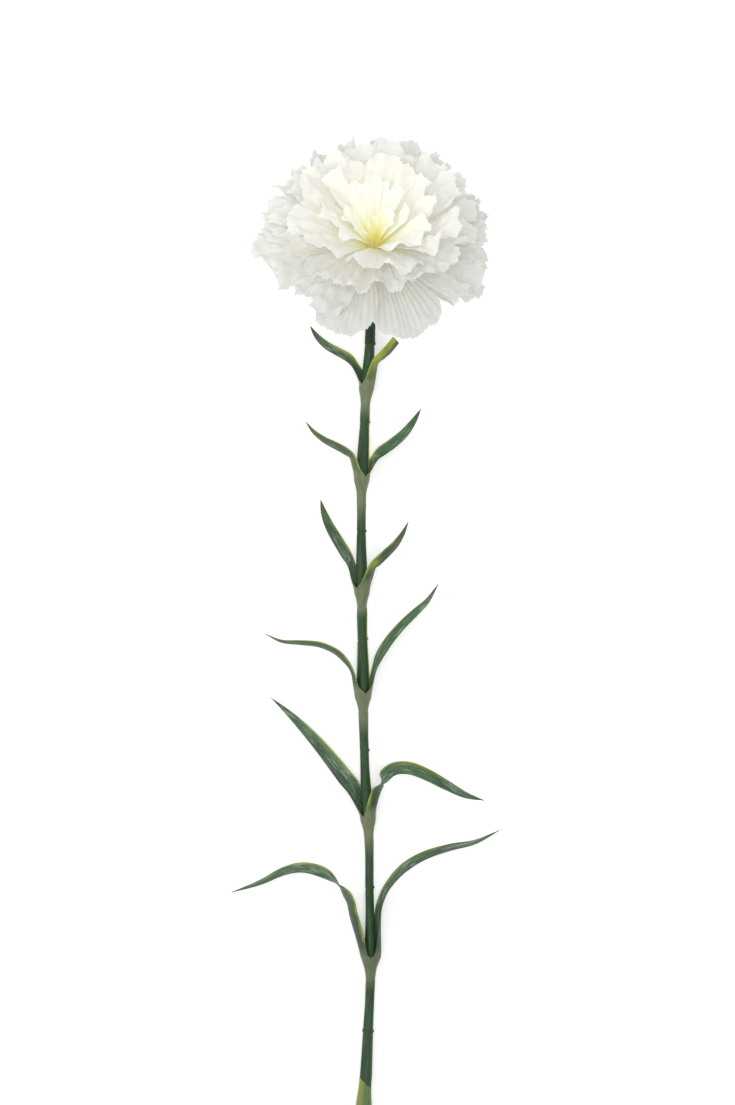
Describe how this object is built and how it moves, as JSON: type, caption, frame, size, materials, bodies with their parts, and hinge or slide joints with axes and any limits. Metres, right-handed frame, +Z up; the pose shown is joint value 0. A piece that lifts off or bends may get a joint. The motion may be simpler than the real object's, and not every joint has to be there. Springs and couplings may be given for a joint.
{
  "type": "cut carnation flower",
  "caption": "Cut carnation lying on its side: a full ruffled white flower head on a long jointed green stem with pairs of narrow clasping leaves.",
  "frame": {"origin": "centre of the bounding box's footprint, on the surface that the flower lies on", "axes": "+Z up from that surface, +Y along the stem from the cut end to the flower, +X to the right seen from above with the flower away"},
  "size_m": [0.1048, 0.4303, 0.0726],
  "materials": {
    "petal": "matte",
    "heart_petal": "matte",
    "stem": "satin",
    "leaf": "satin",
    "sheath": "satin",
    "calyx": "satin",
    "bract": "satin"
  },
  "bodies": {
    "root": {"bract_1": "bract", "bract_2": "bract", "bract_3": "bract", "bract_4": "bract", "calyx": "calyx", "leaf_1_left": "leaf", "leaf_1_right": "leaf", "leaf_2_left": "leaf", "leaf_2_right": "leaf", "leaf_3_left": "leaf", "leaf_3_right": "leaf", "leaf_4_left": "leaf", "leaf_4_right": "leaf", "leaf_5_left": "leaf", "leaf_5_right": "leaf", "leaf_6_left": "leaf", "leaf_6_right": "leaf", "petal_centre_1": "heart_petal", "petal_centre_2": "heart_petal", "petal_centre_3": "heart_petal", "petal_guard_1": "petal", "petal_guard_2": "petal", "petal_guard_3": "petal", "petal_guard_4": "petal", "petal_guard_5": "petal", "petal_guard_6": "petal", "petal_guard_7": "petal", "petal_guard_8": "petal", "petal_inner_1": "petal", "petal_inner_2": "petal", "petal_inner_3": "petal", "petal_inner_4": "petal", "petal_inner_5": "petal", "petal_middle_1": "petal", "petal_middle_2": "petal", "petal_middle_3": "petal", "petal_middle_4": "petal", "petal_middle_5": "petal", "petal_middle_6": "petal", "petal_outer_1": "petal", "petal_outer_2": "petal", "petal_outer_3": "petal", "petal_outer_4": "petal", "petal_outer_5": "petal", "petal_outer_6": "petal", "petal_outer_7": "petal", "petal_upright_1": "heart_petal", "petal_upright_2": "heart_petal", "petal_upright_3": "heart_petal", "petal_upright_4": "heart_petal", "petal_wide_1": "petal", "petal_wide_2": "petal", "petal_wide_3": "petal", "petal_wide_4": "petal", "petal_wide_5": "petal", "petal_wide_6": "petal", "petal_wide_7": "petal", "petal_wide_8": "petal", "stem": "stem", "stripped_sheath": "sheath"}
  },
  "joints": []
}
